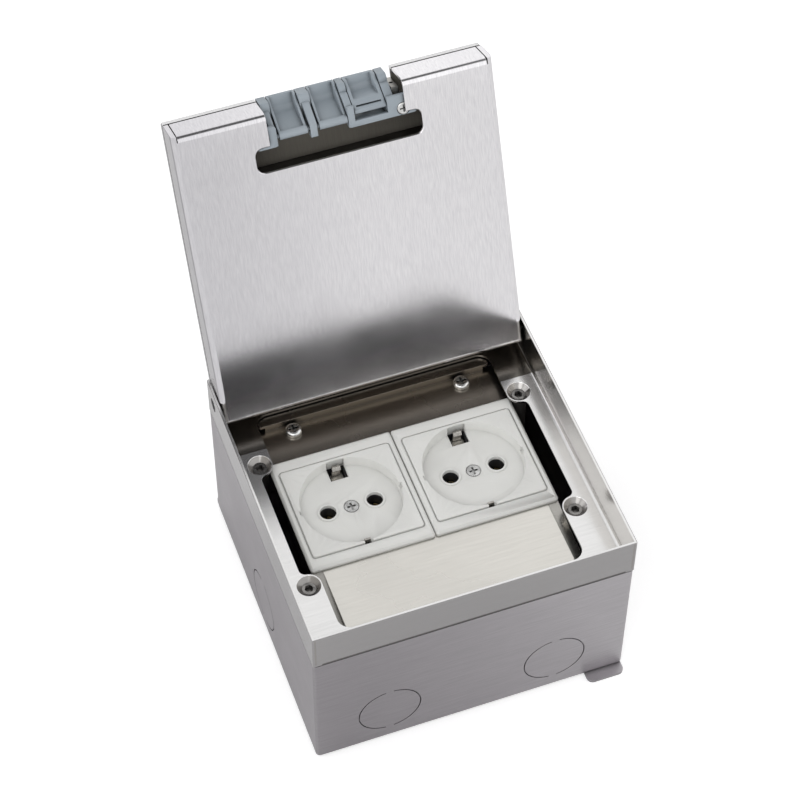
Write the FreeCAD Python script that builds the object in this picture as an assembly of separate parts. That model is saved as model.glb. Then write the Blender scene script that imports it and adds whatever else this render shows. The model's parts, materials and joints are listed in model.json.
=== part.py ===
import FreeCAD, Part
import math
import os

# Floor socket box: a square steel casing under a bent steel frame, with a hinged lid
# that carries a plastic cable outlet, and two round socket outlets inside.
# Millimetres. X to the right, Y to the back, Z up.
# The origin is the centre of the base underside.
# The lid is drawn closed and then turned open about its hinge pins: open is its rest.

# ---- driving dimensions -------------------------------------------------------------
HALF = 63.5                  # half of the square outline
HEIGHT = 83.7                # top of the frame above the base underside
CASING_SHEET = 1.2
CASING_TOP = 65.5
CASING_CORNER_R = 1.5
BASE_EDGE_R = 2.5
FLANGE_EDGE = 58.1           # inner edge of the casing's in-turned top flange
GASKET_T = 0.4
GASKET_SETBACK = 0.35
GASKET_WIDTH = 3.8
FRAME_SHEET = 1.0
LEDGE_TOP = CASING_TOP + GASKET_T + FRAME_SHEET
REAR_WALL_TOP = 71.0

OPENING_HALF_X = 48.6        # narrow part of the ledge opening
OPENING_HALF_Y = 52.3
OPENING_CORNER_R = 5.0
BAY_HALF_X = 55.1            # wide part, beside the sockets
BAY_HALF_Y = 24.5
BAY_CORNER_R = 2.5
BOSS_R = 5.1

SCREW_X = 53.6
SCREW_Y = 29.6
DIMPLE_R = 4.65
DIMPLE_HOLE_R = 2.2
DIMPLE_WALL = 0.75
PILLAR_R = 3.4
M4_R = 2.0

HINGE_Y = 56.1
HINGE_Z = 76.9
OPEN_ANGLE = 111.5
PIVOT_R = 1.7
PIVOT_FIT = 0.05
BUSH_R = 2.8
STUD_R = 1.0
STUD_ORBIT = 5.0
STUD_ANGLE = 165.0

LID_HALF_X = 62.15
LID_FRONT = -62.1
LID_REAR = 61.65
LID_UNDER = 67.8
LID_SHEET = 1.0
PAN_TOP = 80.0
PAN_BEND_R = 2.4
RIM_BOTTOM = 80.8
COVER_PLATE_T = 1.2
SLIT = 0.4
SLIT_X = 59.7

NOTCH_HALF = 26.4            # cut-out of the lid for the cable outlet
SLOT_HALF = 32.3
SLOT_FRONT = -49.2
SLOT_REAR = -39.1
SLOT_R = 3.0
SLOT_EDGE = 0.3              # broken edge round the slot
COVER_NOTCH_REAR = -49.4

SOCKET_X = 25.1
SOCKET_Y = 4.2
FACE_Z = 64.4
PLATE_TOP = 61.9
PLATE_T = 1.2
PLATE_HALF = 45.6
PLATE_FRONT = -50.5
PLATE_REAR = 49.0
RECESS_R = 20.0
RECESS_FLOOR = 59.8
PIN_PITCH = 19.0
PIN_HOLE_R = 3.25

KNOCKOUT_R = 12.65
KNOCKOUT_Z = 20.1
KNOCKOUT_X = 33.7
SCORE_WIDTH = 0.45           # the scored ring round each knockout
SCORE_DEPTH = 0.8
SCORE_TAB = 1.6
BASE_HOLE = 48.0             # holes for the floor screws
BASE_HOLE_R = 2.5

V = FreeCAD.Vector
X_AXIS = V(1, 0, 0)
Y_AXIS = V(0, 1, 0)
Z_AXIS = V(0, 0, 1)
TINY = 1e-4


# ---- helpers --------------------------------------------------------------------------
def box(x0, x1, y0, y1, z0, z1):
    return Part.makeBox(x1 - x0, y1 - y0, z1 - z0, V(x0, y0, z0))


def rod(point, axis, radius, length):
    return Part.makeCylinder(radius, length, V(*point), axis)


def cone(point, axis, r0, r1, length):
    return Part.makeCone(r0, r1, length, V(*point), axis)


def edges_along(shape, axis, keep=lambda c: True):
    """Straight edges of a shape parallel to an axis whose middle passes a test."""
    found = []
    for e in shape.Edges:
        if len(e.Vertexes) != 2 or not isinstance(e.Curve, Part.Line):
            continue
        d = e.Vertexes[1].Point - e.Vertexes[0].Point
        if d.normalize().cross(axis).Length < TINY and keep(e.CenterOfMass):
            found.append(e)
    return found


def rbox(x0, x1, y0, y1, z0, z1, r, axis=Z_AXIS):
    """A box with the four edges along one axis rounded."""
    b = box(x0, x1, y0, y1, z0, z1)
    return b.makeFillet(r, edges_along(b, axis))


def prism(points, x0, x1):
    """A profile in the YZ plane, extruded along X."""
    loop = [V(x0, y, z) for y, z in points]
    face = Part.Face(Part.makePolygon(loop + loop[:1]))
    return face.extrude(V(x1 - x0, 0, 0))


def hexagon(point, across_flats, length, axis=Z_AXIS):
    corner = across_flats / math.sqrt(3)
    loop = [V(corner * math.cos(math.radians(60 * i)),
              corner * math.sin(math.radians(60 * i)), 0) for i in range(7)]
    solid = Part.Face(Part.makePolygon(loop)).extrude(V(0, 0, length))
    solid.Placement = FreeCAD.Placement(V(*point), FreeCAD.Rotation(Z_AXIS, axis))
    return solid


def cross_slot(point, span, width, depth):
    """The cross recess of a screw whose head faces up at the point."""
    x, y, z = point
    arm = box(x - span, x + span, y - width / 2, y + width / 2, z - depth, z + 1)
    other = box(x - width / 2, x + width / 2, y - span, y + span, z - depth, z + 1)
    return arm.fuse(other)


def fuse(shapes):
    result = shapes[0]
    for s in shapes[1:]:
        result = result.fuse(s)
    return result.removeSplitter()


def group(shapes):
    return Part.makeCompound(shapes)


def mirror_x(shape):
    return shape.mirror(V(0, 0, 0), X_AXIS)


def both_sides(shape):
    return group([shape, mirror_x(shape)])


def opened(shape):
    """Turns a lid piece from its closed place to the open rest place."""
    turned = shape.copy()
    turned.rotate(V(0, HINGE_Y, HINGE_Z), X_AXIS, -OPEN_ANGLE)
    return turned


# ---- casing ---------------------------------------------------------------------------
def casing():
    body = box(-HALF, HALF, -HALF, HALF, 0, CASING_TOP)
    body = body.makeFillet(CASING_CORNER_R, edges_along(body, Z_AXIS))
    body = body.makeFillet(BASE_EDGE_R, [e for e in body.Edges
                                         if e.BoundBox.ZMax < TINY])
    inside = HALF - CASING_SHEET
    room = box(-inside, inside, -inside, inside, CASING_SHEET, CASING_TOP - CASING_SHEET)
    room = room.makeFillet(BASE_EDGE_R - CASING_SHEET,
                           edges_along(room, X_AXIS, lambda c: c.z < CASING_SHEET + 1)
                           + edges_along(room, Y_AXIS, lambda c: c.z < CASING_SHEET + 1)
                           + edges_along(room, Z_AXIS))
    mouth = rbox(-FLANGE_EDGE, FLANGE_EDGE, -FLANGE_EDGE, FLANGE_EDGE,
                 CASING_TOP - 2 * CASING_SHEET, CASING_TOP + 1, 3.0)
    body = body.cut(room).cut(mouth)
    for x in (-BASE_HOLE, BASE_HOLE):
        for y in (-BASE_HOLE, BASE_HOLE):
            body = body.cut(rod((x, y, -1), Z_AXIS, BASE_HOLE_R, CASING_SHEET + 2))
    for x in (-KNOCKOUT_X, KNOCKOUT_X):
        body = body.cut(knockout_score((x, -HALF, KNOCKOUT_Z), Y_AXIS))
        body = body.cut(knockout_score((x, HALF, KNOCKOUT_Z), -Y_AXIS))
    body = body.cut(knockout_score((-HALF, 0, KNOCKOUT_Z), X_AXIS))
    body = body.cut(knockout_score((HALF, 0, KNOCKOUT_Z), -X_AXIS))
    return body


def knockout_score(point, inward):
    """A ring groove with an uncut tab at the top and at the bottom."""
    start = V(*point) - inward * 0.5
    ring = rod(start, inward, KNOCKOUT_R, SCORE_DEPTH + 0.5)
    ring = ring.cut(rod(start, inward, KNOCKOUT_R - SCORE_WIDTH, SCORE_DEPTH + 0.5))
    x, y, z = point
    reach = KNOCKOUT_R + 1
    tab = box(x - SCORE_TAB, x + SCORE_TAB, y - SCORE_TAB, y + SCORE_TAB,
              z - reach, z + reach)
    return ring.cut(tab)


LUG_X0 = 47.8
LUG_X1 = 63.0
LUG_REACH = 67.9
LUG_R = 2.5


def floor_lugs(casing_shape):
    """Flat fixing lugs at two opposite corners of the base."""
    lug = box(LUG_X0, LUG_X1, -LUG_REACH, -HALF + BASE_EDGE_R, 0, CASING_SHEET)
    lug = lug.makeFillet(LUG_R, edges_along(lug, Z_AXIS, lambda c: c.y < -HALF))
    lug = lug.cut(casing_shape)
    lug = max(lug.Solids, key=lambda s: s.Volume)
    twin = lug.copy()
    twin.rotate(V(0, 0, 0), Z_AXIS, 180)
    return group([lug, twin])


def gasket():
    outer = HALF - GASKET_SETBACK
    inner = outer - GASKET_WIDTH
    ring = rbox(-outer, outer, -outer, outer, CASING_TOP, CASING_TOP + GASKET_T,
                CASING_CORNER_R - GASKET_SETBACK)
    return ring.cut(rbox(-inner, inner, -inner, inner,
                         CASING_TOP - 1, CASING_TOP + 1, 2.0))


# ---- frame ----------------------------------------------------------------------------
def ledge_opening():
    z0 = CASING_TOP
    z1 = LEDGE_TOP + 1
    narrow = rbox(-OPENING_HALF_X, OPENING_HALF_X, -OPENING_HALF_Y, OPENING_HALF_Y,
                  z0, z1, OPENING_CORNER_R)
    wide = rbox(-BAY_HALF_X, BAY_HALF_X, -BAY_HALF_Y, BAY_HALF_Y, z0, z1, BAY_CORNER_R)
    both = narrow.fuse(wide).removeSplitter()

    def at_boss(c):
        return abs(abs(c.x) - OPENING_HALF_X) < 0.2 and abs(abs(c.y) - BAY_HALF_Y) < 0.2
    return both.makeFillet(BOSS_R, edges_along(both, Z_AXIS, at_boss))


def frame():
    bottom = CASING_TOP + GASKET_T
    inside = HALF - FRAME_SHEET
    tray = box(-HALF, HALF, -HALF, HALF, bottom, HEIGHT)
    tray = tray.makeFillet(0.5, edges_along(tray, Z_AXIS))
    room = box(-inside, inside, -inside, inside, LEDGE_TOP, HEIGHT + 1)
    bends = [e for e in room.Edges if e.BoundBox.ZMax < LEDGE_TOP + TINY]
    tray = tray.cut(room.makeFillet(1.5, bends)).cut(ledge_opening())
    tray = tray.cut(box(-inside, inside, inside - 1, HALF + 1, REAR_WALL_TOP, HEIGHT + 1))
    seat_bottom = LEDGE_TOP - (DIMPLE_R - DIMPLE_HOLE_R)
    for x in (-SCREW_X, SCREW_X):
        for y in (-SCREW_Y, SCREW_Y):
            depth = LEDGE_TOP - seat_bottom
            shell = cone((x, y, seat_bottom), Z_AXIS, DIMPLE_HOLE_R + DIMPLE_WALL,
                         DIMPLE_R + DIMPLE_WALL, depth)
            shell = shell.common(box(x - 9, x + 9, y - 9, y + 9, seat_bottom, bottom + 0.3))
            hollow = cone((x, y, seat_bottom - 0.5), Z_AXIS, DIMPLE_HOLE_R - 0.5,
                          DIMPLE_R + 0.5, depth + 1)
            hollow = hollow.fuse(rod((x, y, seat_bottom - 1), Z_AXIS, DIMPLE_HOLE_R, 2))
            tray = tray.fuse(shell).cut(hollow)
    for side in (-1, 1):
        start = (side * (inside - 1), HINGE_Y, HINGE_Z)
        tray = tray.cut(rod(start, X_AXIS * side, BUSH_R + 0.02, 3))
    return tray.removeSplitter()


def pillars():
    top = LEDGE_TOP - (DIMPLE_R - DIMPLE_HOLE_R)
    parts = []
    for x in (-SCREW_X, SCREW_X):
        for y in (-SCREW_Y, SCREW_Y):
            post = rod((x, y, CASING_SHEET), Z_AXIS, PILLAR_R, top - CASING_SHEET)
            post = post.cut(rod((x, y, top - 16), Z_AXIS, M4_R + PIVOT_FIT, 17))
            parts.append(post.cut(cone((x, y, top - 0.5), Z_AXIS, M4_R, M4_R + 0.5, 0.5)))
    return group(parts)


def frame_screws():
    """Countersunk socket screws that sit low in the dimples of the ledge."""
    head_r = 2.72
    socket_flats = 3.0
    socket_depth = 2.0
    head_z = LEDGE_TOP - (DIMPLE_R - head_r) + 0.03
    parts = []
    for x in (-SCREW_X, SCREW_X):
        for y in (-SCREW_Y, SCREW_Y):
            cone_h = head_r - M4_R
            head = cone((x, y, head_z - cone_h), Z_AXIS, M4_R, head_r, cone_h)
            shank = rod((x, y, head_z - 14), Z_AXIS, M4_R, 14 - cone_h + 0.01)
            screw = head.fuse(shank).removeSplitter()
            parts.append(screw.cut(hexagon((x, y, head_z - socket_depth), socket_flats,
                                           socket_depth + 1)))
    return group(parts)


# ---- hinge ----------------------------------------------------------------------------
PIVOT_END = HALF - 0.4
PIVOT_HEAD = LID_HALF_X - LID_SHEET - 0.15
BLOCK_X0 = 50.0
BLOCK_X1 = 59.7
PIN_SHANK_R = 2.0
BUSH_LENGTH = 0.85


def hinge_pins():
    """Shouldered pins: pressed in the lid's blocks, turning in the frame's walls."""
    head = rod((PIVOT_HEAD, HINGE_Y, HINGE_Z), X_AXIS, PIVOT_R, PIVOT_END - PIVOT_HEAD)
    rim = [e for e in head.Edges if e.BoundBox.XMin > PIVOT_END - TINY]
    head = head.makeChamfer(0.4, rim)
    shank = rod((BLOCK_X0 + 1, HINGE_Y, HINGE_Z), X_AXIS, PIN_SHANK_R,
                PIVOT_HEAD - BLOCK_X0 - 1)
    return both_sides(head.fuse(shank).removeSplitter())


def hinge_bushes():
    """Black bearing rings in the frame's walls."""
    x0 = HALF - FRAME_SHEET
    ring = rod((x0, HINGE_Y, HINGE_Z), X_AXIS, BUSH_R, BUSH_LENGTH)
    return both_sides(ring.cut(rod((x0 - 1, HINGE_Y, HINGE_Z), X_AXIS,
                                   PIVOT_R + PIVOT_FIT, BUSH_LENGTH + 2)))


def hinge_blocks():
    block = rbox(BLOCK_X0, BLOCK_X1, 51.4, 59.2, LID_UNDER + LID_SHEET, 82.4, 0.6)
    bore = rod((BLOCK_X0 - 1, HINGE_Y, HINGE_Z), X_AXIS, PIN_SHANK_R + 0.02, 20)
    return both_sides(block.cut(bore))


def stop_studs():
    """Studs on the frame's walls that run in the curved slots of the lid."""
    a = math.radians(STUD_ANGLE)
    y = HINGE_Y + STUD_ORBIT * math.cos(a)
    z = HINGE_Z + STUD_ORBIT * math.sin(a)
    inside = HALF - FRAME_SHEET
    tip = LID_HALF_X - LID_SHEET + 0.1
    return both_sides(rod((tip, y, z), X_AXIS, STUD_R, inside - tip))


def stop_slot():
    """The curved slot: one end meets the stud when the lid is fully open."""
    half = STUD_R + 0.15
    ease = math.degrees((half - STUD_R - 0.03) / STUD_ORBIT)
    a0 = STUD_ANGLE - 3.0
    a1 = STUD_ANGLE + OPEN_ANGLE - ease
    x0 = LID_HALF_X - LID_SHEET - 0.5
    length = LID_SHEET + 1
    centre = (x0, HINGE_Y, HINGE_Z)
    ring = rod(centre, X_AXIS, STUD_ORBIT + half, length)
    ring = ring.cut(rod(centre, X_AXIS, STUD_ORBIT - half, length))
    wedge = [(HINGE_Y, HINGE_Z)]
    steps = 8
    for i in range(steps + 1):
        a = math.radians(a0 + (a1 - a0) * i / steps)
        wedge.append((HINGE_Y + 12 * math.cos(a), HINGE_Z + 12 * math.sin(a)))
    slot = ring.common(prism(wedge, x0, x0 + length))
    for a in (a0, a1):
        y = HINGE_Y + STUD_ORBIT * math.cos(math.radians(a))
        z = HINGE_Z + STUD_ORBIT * math.sin(math.radians(a))
        slot = slot.fuse(rod((x0, y, z), X_AXIS, half, length))
    return slot


# ---- lid ------------------------------------------------------------------------------
def lid_cutout():
    """The stepped opening of the pan: a notch from the front edge and a wider slot."""
    notch = box(-NOTCH_HALF, NOTCH_HALF, LID_FRONT - 1, SLOT_FRONT + 2,
                LID_UNDER - 1, PAN_TOP + 1)
    slot = rbox(-SLOT_HALF, SLOT_HALF, SLOT_FRONT, SLOT_REAR,
                LID_UNDER - 1, LID_UNDER + 4, SLOT_R)
    return notch.fuse(slot)


def lid_pan():
    s = LID_SHEET
    r = PAN_BEND_R
    shell = box(-LID_HALF_X, LID_HALF_X, LID_FRONT, LID_REAR, LID_UNDER, PAN_TOP)
    low_sides = edges_along(shell, Y_AXIS, lambda c: c.z < LID_UNDER + 1)
    low_rear = edges_along(shell, X_AXIS, lambda c: c.z < LID_UNDER + 1 and c.y > 0)
    shell = shell.makeFillet(r, low_sides + low_rear)
    room = box(-LID_HALF_X + s, LID_HALF_X - s, LID_FRONT + s, LID_REAR - s,
               LID_UNDER + s, PAN_TOP + 1)
    low = [e for e in room.Edges if e.BoundBox.ZMax < LID_UNDER + s + TINY]
    shell = shell.cut(room.makeFillet(r - s, low))
    corner = box(-SLIT_X, SLIT_X, LID_FRONT - 1, LID_FRONT + r, LID_UNDER - 1, LID_UNDER + r)
    round_bend = rod((-SLIT_X, LID_FRONT + r, LID_UNDER + r), X_AXIS, r, 2 * SLIT_X)
    shell = shell.cut(corner.cut(round_bend))
    for side in (-1, 1):
        x0 = min(side * SLIT_X, side * (SLIT_X + SLIT))
        shell = shell.cut(box(x0, x0 + SLIT, LID_FRONT - 1, LID_FRONT + r,
                              LID_UNDER - 1, PAN_TOP + 1))
    slot = stop_slot()
    hole = rod((LID_HALF_X - s - 1, HINGE_Y, HINGE_Z), X_AXIS, PIVOT_R + PIVOT_FIT, s + 2)
    shell = shell.cut(slot).cut(mirror_x(slot)).cut(hole).cut(mirror_x(hole))
    shell = shell.cut(lid_cutout())
    rim = [e for e in shell.Edges if e.BoundBox.ZMax < LID_UNDER + TINY
           and e.BoundBox.YMin > SLOT_FRONT - TINY
           and e.BoundBox.YMax < SLOT_REAR + TINY]
    return shell.makeChamfer(SLOT_EDGE, rim)


def lid_cover():
    shell = box(-LID_HALF_X, LID_HALF_X, LID_FRONT, LID_REAR, RIM_BOTTOM, HEIGHT)
    shell = shell.makeFillet(0.8, edges_along(shell, Z_AXIS))
    top = [e for e in shell.Edges if e.BoundBox.ZMin > HEIGHT - TINY]
    shell = shell.makeFillet(0.7, top)
    s = LID_SHEET
    room = box(-LID_HALF_X + s, LID_HALF_X - s, LID_FRONT + s, LID_REAR - s,
               RIM_BOTTOM - 1, HEIGHT - COVER_PLATE_T)
    shell = shell.cut(room)
    rear_edge = box(-LID_HALF_X - 1, LID_HALF_X + 1, LID_REAR - 1.5, LID_REAR + 1,
                    HEIGHT - 1.5, HEIGHT + 1)
    rear_round = rod((-LID_HALF_X - 1, LID_REAR - 1.5, HEIGHT - 1.5), X_AXIS, 1.5,
                     2 * LID_HALF_X + 2)
    shell = shell.cut(rear_edge.cut(rear_round))
    return shell.cut(box(-NOTCH_HALF, NOTCH_HALF, LID_FRONT - 1, COVER_NOTCH_REAR,
                         RIM_BOTTOM - 1, HEIGHT + 1))


SEAL_T = 0.8


def lid_seal():
    """A dark strip set back behind the gap between the pan and the cover rim."""
    x = LID_HALF_X - LID_SHEET - 0.05
    y0 = LID_FRONT + LID_SHEET + 0.05
    y1 = LID_REAR - LID_SHEET - 0.05
    z0 = PAN_TOP - 0.25
    z1 = RIM_BOTTOM + 0.9
    ring = box(-x, x, y0, y1, z0, z1)
    ring = ring.cut(box(-x + SEAL_T, x - SEAL_T, y0 + SEAL_T, y1 - SEAL_T, z0 - 1, z1 + 1))
    return ring.cut(box(-NOTCH_HALF, NOTCH_HALF, y0 - 1, y0 + 2, z0 - 1, z1 + 1))


STIFFENER_FRONT = -35.0


def lid_stiffener():
    """A ring of C-section sheet that joins the pan to the cover plate."""
    s = LID_SHEET
    x = 48.5
    y1 = 46.0
    z0 = LID_UNDER + s
    z1 = HEIGHT - COVER_PLATE_T
    lip = 6.0
    ring = rbox(-x, x, STIFFENER_FRONT, y1, z0, z1, 3.0)
    ring = ring.cut(rbox(-x + s, x - s, STIFFENER_FRONT + s, y1 - s, z0 + s, z1 - s, 2.0))
    return ring.cut(rbox(-x + lip, x - lip, STIFFENER_FRONT + lip, y1 - lip,
                         z0 - 1, z1 + 1, 2.0))


# ---- cable outlet ---------------------------------------------------------------------
OUTLET_FRONT = -62.0
OUTLET_TOP = 83.5
FLAP_AXIS_Y = -51.3
FLAP_AXIS_Z = 70.4
BARREL_R = 1.6
FLAP_PIN_R = 0.8
FLAP_WIDTH = 10.8
FLAP_X = (-16.65, -1.2)
FLAP_BACK = -50.7
FLAP_TOP_REAR = -54.8        # the back slopes, so the flap can tip inwards
FLAP_WALL = 1.2
FLAP_CHEEK = 0.9
FLAP_PIN_LENGTH = 1.9
LATCH_X0 = 7.4
LATCH_X1 = 19.7
LATCH_REAR = -52.4
LATCH_TRAVEL = 2.0
SIDE_GAP = 0.3
CARRIER_Z = 69.0
CARRIER_T = 1.5
CARRIER_HALF = 31.0
CARRIER_LEFT = -25.8
CARRIER_RIGHT = 23.2
FOOT_INSET = 0.7
CARRIER_REAR = -47.8
WEB_REAR = -49.2
CARRIER_TOP = 82.3
CARRIER_FRONT = -56.0
CARRIER_BOSS_R = 2.9
BLOCK_PROFILE = [(OUTLET_FRONT, OUTLET_TOP), (OUTLET_FRONT, 77.8), (-60.6, 76.6),
                 (WEB_REAR, 76.6), (WEB_REAR, CARRIER_TOP), (-49.7, CARRIER_TOP),
                 (-49.7, OUTLET_TOP)]
FOOT_PROFILE = [(-59.8, 78.0), (-58.6, 75.4), (-53.2, CARRIER_Z), (-48.0, CARRIER_Z),
                (-48.0, 71.4), (WEB_REAR, 73.2), (WEB_REAR, 78.0)]
CARRIER_SCREWS = ((26.0, -50.3), (-28.6, -51.6))


def flap_solid(x0, x1, grow=0.0):
    """The outer body of a flap, without its hollow."""
    profile = [(OUTLET_FRONT, OUTLET_TOP), (FLAP_TOP_REAR, OUTLET_TOP),
               (FLAP_BACK, FLAP_AXIS_Z + BARREL_R), (FLAP_BACK, FLAP_AXIS_Z),
               (-52.7, FLAP_AXIS_Z),
               (-60.6, 79.2), (OUTLET_FRONT, 80.6)]
    body = prism(profile, x0 - grow, x1 + grow)
    barrel = rod((x0 - grow, FLAP_AXIS_Y, FLAP_AXIS_Z), X_AXIS, BARREL_R + grow,
                 x1 - x0 + 2 * grow)
    return body.fuse(barrel).removeSplitter()


def cable_flap(x_mid):
    """A scoop with side cheeks that turns on the barrel at its lower rear edge."""
    x0 = x_mid - FLAP_WIDTH / 2
    x1 = x_mid + FLAP_WIDTH / 2
    roof = OUTLET_TOP - FLAP_WALL
    back = FLAP_BACK - FLAP_WALL
    room = [(OUTLET_FRONT - 5, FLAP_AXIS_Z - 5), (OUTLET_FRONT - 5, roof),
            (FLAP_TOP_REAR - FLAP_WALL, roof), (back, FLAP_AXIS_Z + BARREL_R),
            (back, FLAP_AXIS_Z - 5)]
    hollow = prism(room, x0 + FLAP_CHEEK, x1 - FLAP_CHEEK)
    hollow = hollow.makeFillet(3.0, edges_along(
        hollow, X_AXIS, lambda c: c.z > roof - 1 and c.y > OUTLET_FRONT))
    barrel = rod((x0, FLAP_AXIS_Y, FLAP_AXIS_Z), X_AXIS, BARREL_R, x1 - x0)
    body = flap_solid(x0, x1).cut(hollow).fuse(barrel)
    pin = rod((x0 - FLAP_PIN_LENGTH, FLAP_AXIS_Y, FLAP_AXIS_Z), X_AXIS, FLAP_PIN_R,
              x1 - x0 + 2 * FLAP_PIN_LENGTH)
    return body.fuse(pin).removeSplitter()


def outlet_carrier():
    """The plastic holder: blocks and narrow feet between its bays, and end plates."""
    z1 = CARRIER_Z + CARRIER_T
    left0 = FLAP_X[0] - FLAP_WIDTH / 2 - SIDE_GAP
    left1 = FLAP_X[0] + FLAP_WIDTH / 2 + SIDE_GAP
    right0 = FLAP_X[1] - FLAP_WIDTH / 2 - SIDE_GAP
    right1 = FLAP_X[1] + FLAP_WIDTH / 2 + SIDE_GAP
    latch0 = LATCH_X0 - SIDE_GAP
    latch1 = LATCH_X1 + SIDE_GAP
    blocks = [prism(BLOCK_PROFILE, CARRIER_LEFT, left0),
              prism(BLOCK_PROFILE, left1, right0),
              prism(BLOCK_PROFILE, right1, latch0),
              prism(BLOCK_PROFILE, latch1, CARRIER_RIGHT)]
    feet = [prism(FOOT_PROFILE, CARRIER_LEFT + FOOT_INSET, left0 - FOOT_INSET),
            prism(FOOT_PROFILE, left1 + FOOT_INSET, right0 - FOOT_INSET),
            prism(FOOT_PROFILE, right1, latch0),
            prism(FOOT_PROFILE, latch1, CARRIER_RIGHT)]
    plates = [rbox(-CARRIER_HALF, left0 - FOOT_INSET, CARRIER_FRONT, CARRIER_REAR,
                   CARRIER_Z, z1, 1.0),
              rbox(right1, CARRIER_HALF, CARRIER_FRONT, CARRIER_REAR, CARRIER_Z, z1, 1.0)]
    web = box(CARRIER_LEFT, right1 + 0.5, WEB_REAR - 0.6, WEB_REAR, 74.0, CARRIER_TOP)
    latch_web = box(right1 + 0.5, CARRIER_RIGHT, -48.8, -48.0, CARRIER_Z, CARRIER_TOP)
    joint = box(right1, right1 + 1.5, WEB_REAR - 0.6, -48.0, 74.0, CARRIER_TOP)
    body = fuse(plates + blocks + feet + [web, latch_web, joint])
    body = body.cut(box(latch0, latch1, -70, -50.1, 60, 90))
    for x in FLAP_X:
        bore = rod((x - FLAP_WIDTH / 2 - FLAP_PIN_LENGTH - 0.2, FLAP_AXIS_Y, FLAP_AXIS_Z),
                   X_AXIS, FLAP_PIN_R + PIVOT_FIT, FLAP_WIDTH + 2 * FLAP_PIN_LENGTH + 0.4)
        body = body.cut(bore)
    for x, y in CARRIER_SCREWS:
        boss = rod((x, y, CARRIER_Z + 0.6), Z_AXIS, CARRIER_BOSS_R,
                   CARRIER_TOP - CARRIER_Z - 0.6)
        body = body.fuse(boss)
        body = body.cut(rod((x, y, CARRIER_Z - 1), Z_AXIS, 2.6, 1.9))
        body = body.cut(rod((x, y, CARRIER_Z - 1), Z_AXIS, 1.35, 9))
    return body.removeSplitter()


def outlet_screws():
    """Pan-head cross screws of the carrier; their heads face down when closed."""
    parts = []
    for x, y in CARRIER_SCREWS:
        head = rod((x, y, CARRIER_Z - 0.15), Z_AXIS, 2.5, 1.0)
        rim = [e for e in head.Edges if e.BoundBox.ZMax < CARRIER_Z]
        head = head.makeFillet(0.5, rim)
        shank = rod((x, y, CARRIER_Z), Z_AXIS, 1.3, 7.5)
        screw = head.fuse(shank).removeSplitter()
        slot = cross_slot((x, y, 0), 1.5, 0.55, 0.0)
        slot.translate(V(0, 0, CARRIER_Z - 0.15 - 0.3))
        parts.append(screw.cut(slot))
    return group(parts)


def latch_slider():
    """A spring latch beside the flaps, with a finger recess in its lower face."""
    profile = [(OUTLET_FRONT, OUTLET_TOP), (LATCH_REAR, OUTLET_TOP),
               (LATCH_REAR, 69.6), (-53.8, 69.6), (OUTLET_FRONT, 79.8)]
    body = prism(profile, LATCH_X0, LATCH_X1)
    finger = [(-63.0, 82.1), (-56.6, 82.1), (-56.6, 70.0), (-63.0, 70.0)]
    recess = prism(finger, LATCH_X0 + 1.3, LATCH_X1 - 1.3)
    recess = recess.makeFillet(2.4, edges_along(
        recess, X_AXIS, lambda c: c.z > 80 and c.y > -60))
    body = body.cut(recess)
    groove = box(LATCH_X0 + 1.3, LATCH_X1 - 1.3, -55.0, -54.5, 60, 72.6)
    body = body.cut(groove)
    x = (LATCH_X0 + LATCH_X1) / 2
    pocket = rod((x, LATCH_REAR - 3.4, 77.0), Y_AXIS, 2.3, 8)
    return body.cut(pocket).removeSplitter()


def latch_spring():
    """A short coil spring, drawn at the length it has with the latch pushed in."""
    x = (LATCH_X0 + LATCH_X1) / 2
    wire = 0.25
    coil = 1.55
    y0 = LATCH_REAR - 3.4 + LATCH_TRAVEL + 0.2 + wire
    y1 = -48.8 - wire - 0.05
    turns = 4
    path = Part.makeHelix((y1 - y0) / turns, y1 - y0, coil)
    profile = Part.Wire(Part.makeCircle(wire, V(coil, 0, 0), V(0, 1, 0)))
    solid = Part.Wire(path).makePipeShell([profile], True, True)
    solid.Placement = FreeCAD.Placement(V(x, y0, 77.0), FreeCAD.Rotation(Z_AXIS, Y_AXIS))
    return solid


def outlet_bracket():
    """A small angle that ties the carrier to the cover plate."""
    top = HEIGHT - COVER_PLATE_T
    leg = box(23.5, 26.1, -57.6, -56.6, 73.6, top)
    foot = box(23.5, 26.1, -57.6, -53.5, 73.6, 74.6)
    tie = box(23.5, 26.1, -54.2, -53.5, 73.6, top)
    bracket = fuse([leg, foot, tie])
    bracket = bracket.cut(rod((24.8, -60, 77.6), Y_AXIS, 0.8, 5))
    return bracket


# ---- socket plate ---------------------------------------------------------------------
PLATE_SCREWS = (35.1, 44.3)
BODY_HOLE = 21.5
PLATE_WING = 50.0
POCKET_DEPTH = 3.4           # sloping side shelves in front of the sockets
POCKET_OUTER = 49.9
POCKET_FRONT_END = -21.0
POCKET_REAR_START = 27.2
PLATE_FLANGE_TOP = 65.3
LIP_HALF = 47.9              # the flange's lip closes the gap behind it
LIP_REAR = 53.6
PLATE_HEAD_R = 3.4
PLATE_HEAD_T = 2.2
BRACKET_HALF = 30.0
BRACKET_SHEET = 1.2
BRACKET_LEG = 12.0
BRACKET_REACH = -46.0


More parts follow.
